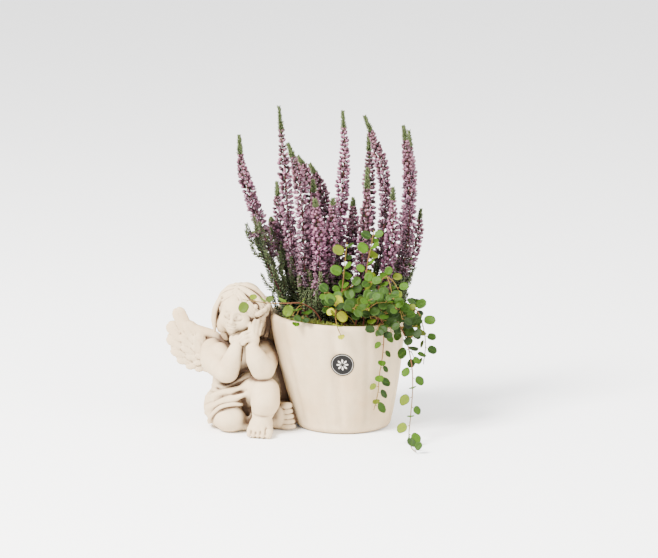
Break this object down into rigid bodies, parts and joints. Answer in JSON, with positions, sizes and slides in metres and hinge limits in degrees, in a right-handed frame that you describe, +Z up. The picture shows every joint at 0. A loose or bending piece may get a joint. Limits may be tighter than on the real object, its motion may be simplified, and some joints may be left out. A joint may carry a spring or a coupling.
{
  "type": "potted heather",
  "caption": "Tapered cast-stone pot joined to a seated winged child, planted with upright flowering heather spikes and a trailing vine with small round leaves.",
  "frame": {"origin": "middle of the pot's flat underside, on the surface that it stands on", "axes": "+Z up along the pot, +X from the seated figure towards the pot, +Y to the back, away from the side with the label"},
  "size_m": [0.264, 0.2013, 0.306],
  "materials": {
    "cast_stone": "matt cream cast stone with a pale brown wash left in the hollows",
    "label_paper": "smooth dark printed label with a pale ring",
    "soil": "moist peat with moss and plant litter",
    "heather": "mauve petals with dark sepals, and green scale leaves on thin woody stems",
    "vine_leaf": "thin satin green leaves on reddish wiry stems"
  },
  "bodies": {
    "root": {"planter": "cast_stone", "round_label": "label_paper", "soil": "soil", "heather_01": "heather", "heather_02": "heather", "heather_03": "heather", "heather_04": "heather", "heather_05": "heather", "heather_06": "heather", "heather_07": "heather", "heather_08": "heather", "heather_09": "heather", "heather_10": "heather", "heather_11": "heather", "heather_12": "heather", "heather_13": "heather", "heather_14": "heather", "heather_15": "heather", "heather_16": "heather", "heather_17": "heather", "heather_18": "heather", "heather_19": "heather", "heather_20": "heather", "vine_01": "vine_leaf", "vine_02": "vine_leaf", "vine_03": "vine_leaf", "vine_04": "vine_leaf", "vine_05": "vine_leaf", "vine_06": "vine_leaf", "vine_07": "vine_leaf", "vine_08": "vine_leaf", "vine_09": "vine_leaf", "vine_10": "vine_leaf", "vine_11": "vine_leaf", "vine_12": "vine_leaf", "vine_13": "vine_leaf"}
  },
  "joints": []
}
